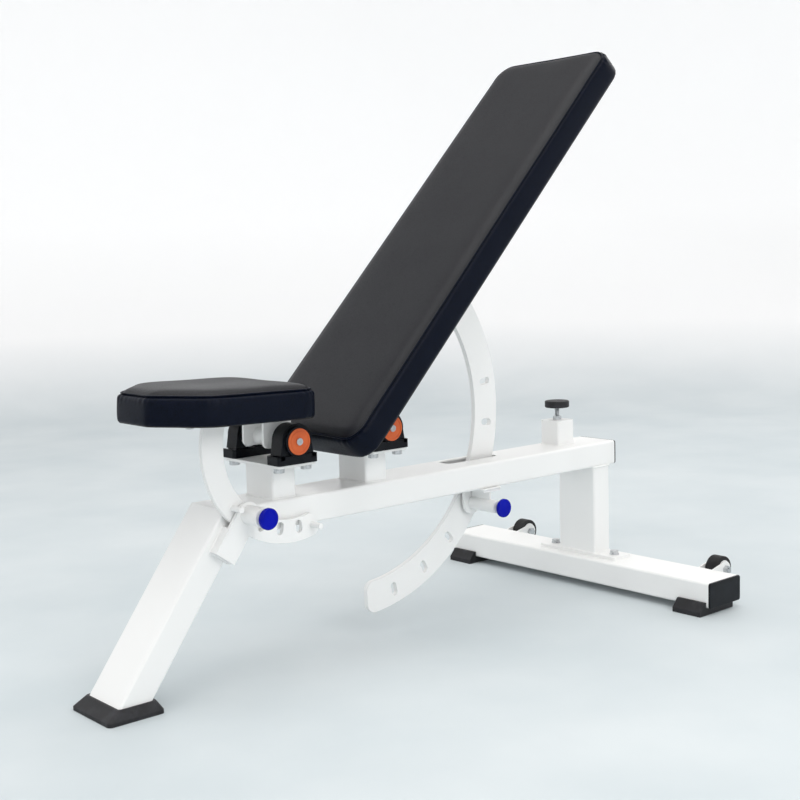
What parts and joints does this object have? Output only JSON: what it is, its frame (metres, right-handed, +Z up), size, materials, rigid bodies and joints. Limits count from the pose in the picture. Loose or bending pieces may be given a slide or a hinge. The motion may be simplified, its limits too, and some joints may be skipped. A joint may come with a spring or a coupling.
{
  "type": "adjustable weight bench",
  "caption": "Adjustable weight bench: padded seat and backrest on bearing shafts, slotted locking arcs with pull pins, rectangular-tube frame, level stop and transport wheels.",
  "frame": {"origin": "bottom centre of the bench's outline on the floor, backrest as stored", "axes": "+X across the bench towards the pull pins' knobs, +Y from the front leg to the transport wheels, +Z up"},
  "size_m": [0.718, 1.306, 1.0995],
  "materials": {
    "white_powder_coat": "gloss powder coat",
    "black_paint": "satin black paint on cast iron",
    "black_vinyl": "satin grained vinyl over foam",
    "zinc_plate": "bright zinc plate",
    "plywood": "plain plywood, out of sight",
    "orange_plastic": "satin moulded plastic",
    "blue_plastic": "gloss moulded plastic",
    "black_plastic": "satin moulded plastic",
    "black_rubber": "matt moulded rubber",
    "bearing_steel": "ground bearing steel",
    "white_plastic": "gloss moulded plastic",
    "tyre_rubber": "matt solid rubber"
  },
  "bodies": {
    "frame": {"main_beam": "white_powder_coat", "front_leg": "white_powder_coat", "front_foot_boot": "black_rubber", "rear_post": "white_powder_coat", "post_base_plate": "white_powder_coat", "rear_stabiliser": "white_powder_coat", "base_bolts": "zinc_plate", "lock_nuts": "zinc_plate", "stabiliser_caps": "black_plastic", "beam_end_cap": "black_plastic", "rear_feet": "black_rubber", "bearing_outer_rings": "bearing_steel", "bearing_balls": "bearing_steel", "bearing_end_caps": "orange_plastic", "bearing_bolts": "zinc_plate", "stop_block": "white_powder_coat", "wheel_forks": "white_powder_coat", "wheel_axle_bolts": "zinc_plate", "seat_riser": "white_powder_coat", "back_riser": "white_powder_coat", "seat_bearing_plate": "white_powder_coat", "back_bearing_plate": "white_powder_coat", "seat_bearing_housings": "black_paint", "back_bearing_housings": "black_paint", "seat_pin_bracket": "white_powder_coat", "seat_pin_barrel": "white_powder_coat", "back_pin_hanger": "white_powder_coat", "back_pin_barrel": "white_powder_coat"},
    "seat": {"seat_board": "plywood", "seat_pad": "black_vinyl", "seat_carrier": "white_powder_coat", "seat_shaft": "bearing_steel", "seat_sleeves": "white_powder_coat", "seat_bearing_inner_rings": "bearing_steel", "seat_lock_arc": "white_powder_coat", "seat_stop_pegs": "white_powder_coat", "seat_screws": "zinc_plate"},
    "backrest": {"back_board": "plywood", "back_pad": "black_vinyl", "back_tube": "white_powder_coat", "back_tube_cap": "black_plastic", "back_cross_plates": "white_powder_coat", "back_shaft": "bearing_steel", "back_sleeve": "white_powder_coat", "back_bearing_inner_rings": "bearing_steel", "back_lock_arc": "white_powder_coat", "back_screws": "zinc_plate"},
    "seat_pin": {"seat_plunger": "zinc_plate", "seat_knob": "blue_plastic", "seat_pin_spring": "bearing_steel"},
    "back_pin": {"back_plunger": "zinc_plate", "back_knob": "blue_plastic", "back_pin_spring": "bearing_steel"},
    "stop": {"stop_stud": "zinc_plate", "stop_pad": "black_rubber"},
    "wheel_right": {"wheel_hub_right": "white_plastic", "wheel_tyre_right": "tyre_rubber"},
    "wheel_left": {"wheel_hub_left": "white_plastic", "wheel_tyre_left": "tyre_rubber"}
  },
  "joints": [
    {"name": "seat_tilt", "type": "hinge", "parent": "frame", "child": "seat", "pos_m": [0, -0.291, 0.406], "axis": [1, 0, 0], "range_deg": [-45, 0]},
    {"name": "back_tilt", "type": "hinge", "parent": "frame", "child": "backrest", "pos_m": [0, -0.086, 0.406], "axis": [1, 0, 0], "range_deg": [-46.2, 42.6]},
    {"name": "seat_pin_pull", "type": "slide", "parent": "frame", "child": "seat_pin", "axis": [-1, 0, 0], "range_m": [0, 0.0105], "stiffness_N_per_m": 600, "springref_m": 0.0105, "deforming": ["seat_pin_spring"]},
    {"name": "back_pin_pull", "type": "slide", "parent": "frame", "child": "back_pin", "axis": [-1, 0, 0], "range_m": [0, 0.0125], "stiffness_N_per_m": 600, "springref_m": 0.0125, "deforming": ["back_pin_spring"]},
    {"name": "stop_height", "type": "slide", "parent": "frame", "child": "stop", "axis": [0, 0, 1], "range_m": [-0.008, 0.006]},
    {"name": "wheel_right_spin", "type": "hinge", "parent": "frame", "child": "wheel_right", "pos_m": [0.272, 0.626, 0.053], "axis": [1, 0, 0], "continuous": true},
    {"name": "wheel_left_spin", "type": "hinge", "parent": "frame", "child": "wheel_left", "pos_m": [-0.272, 0.626, 0.053], "axis": [1, 0, 0], "continuous": true}
  ]
}
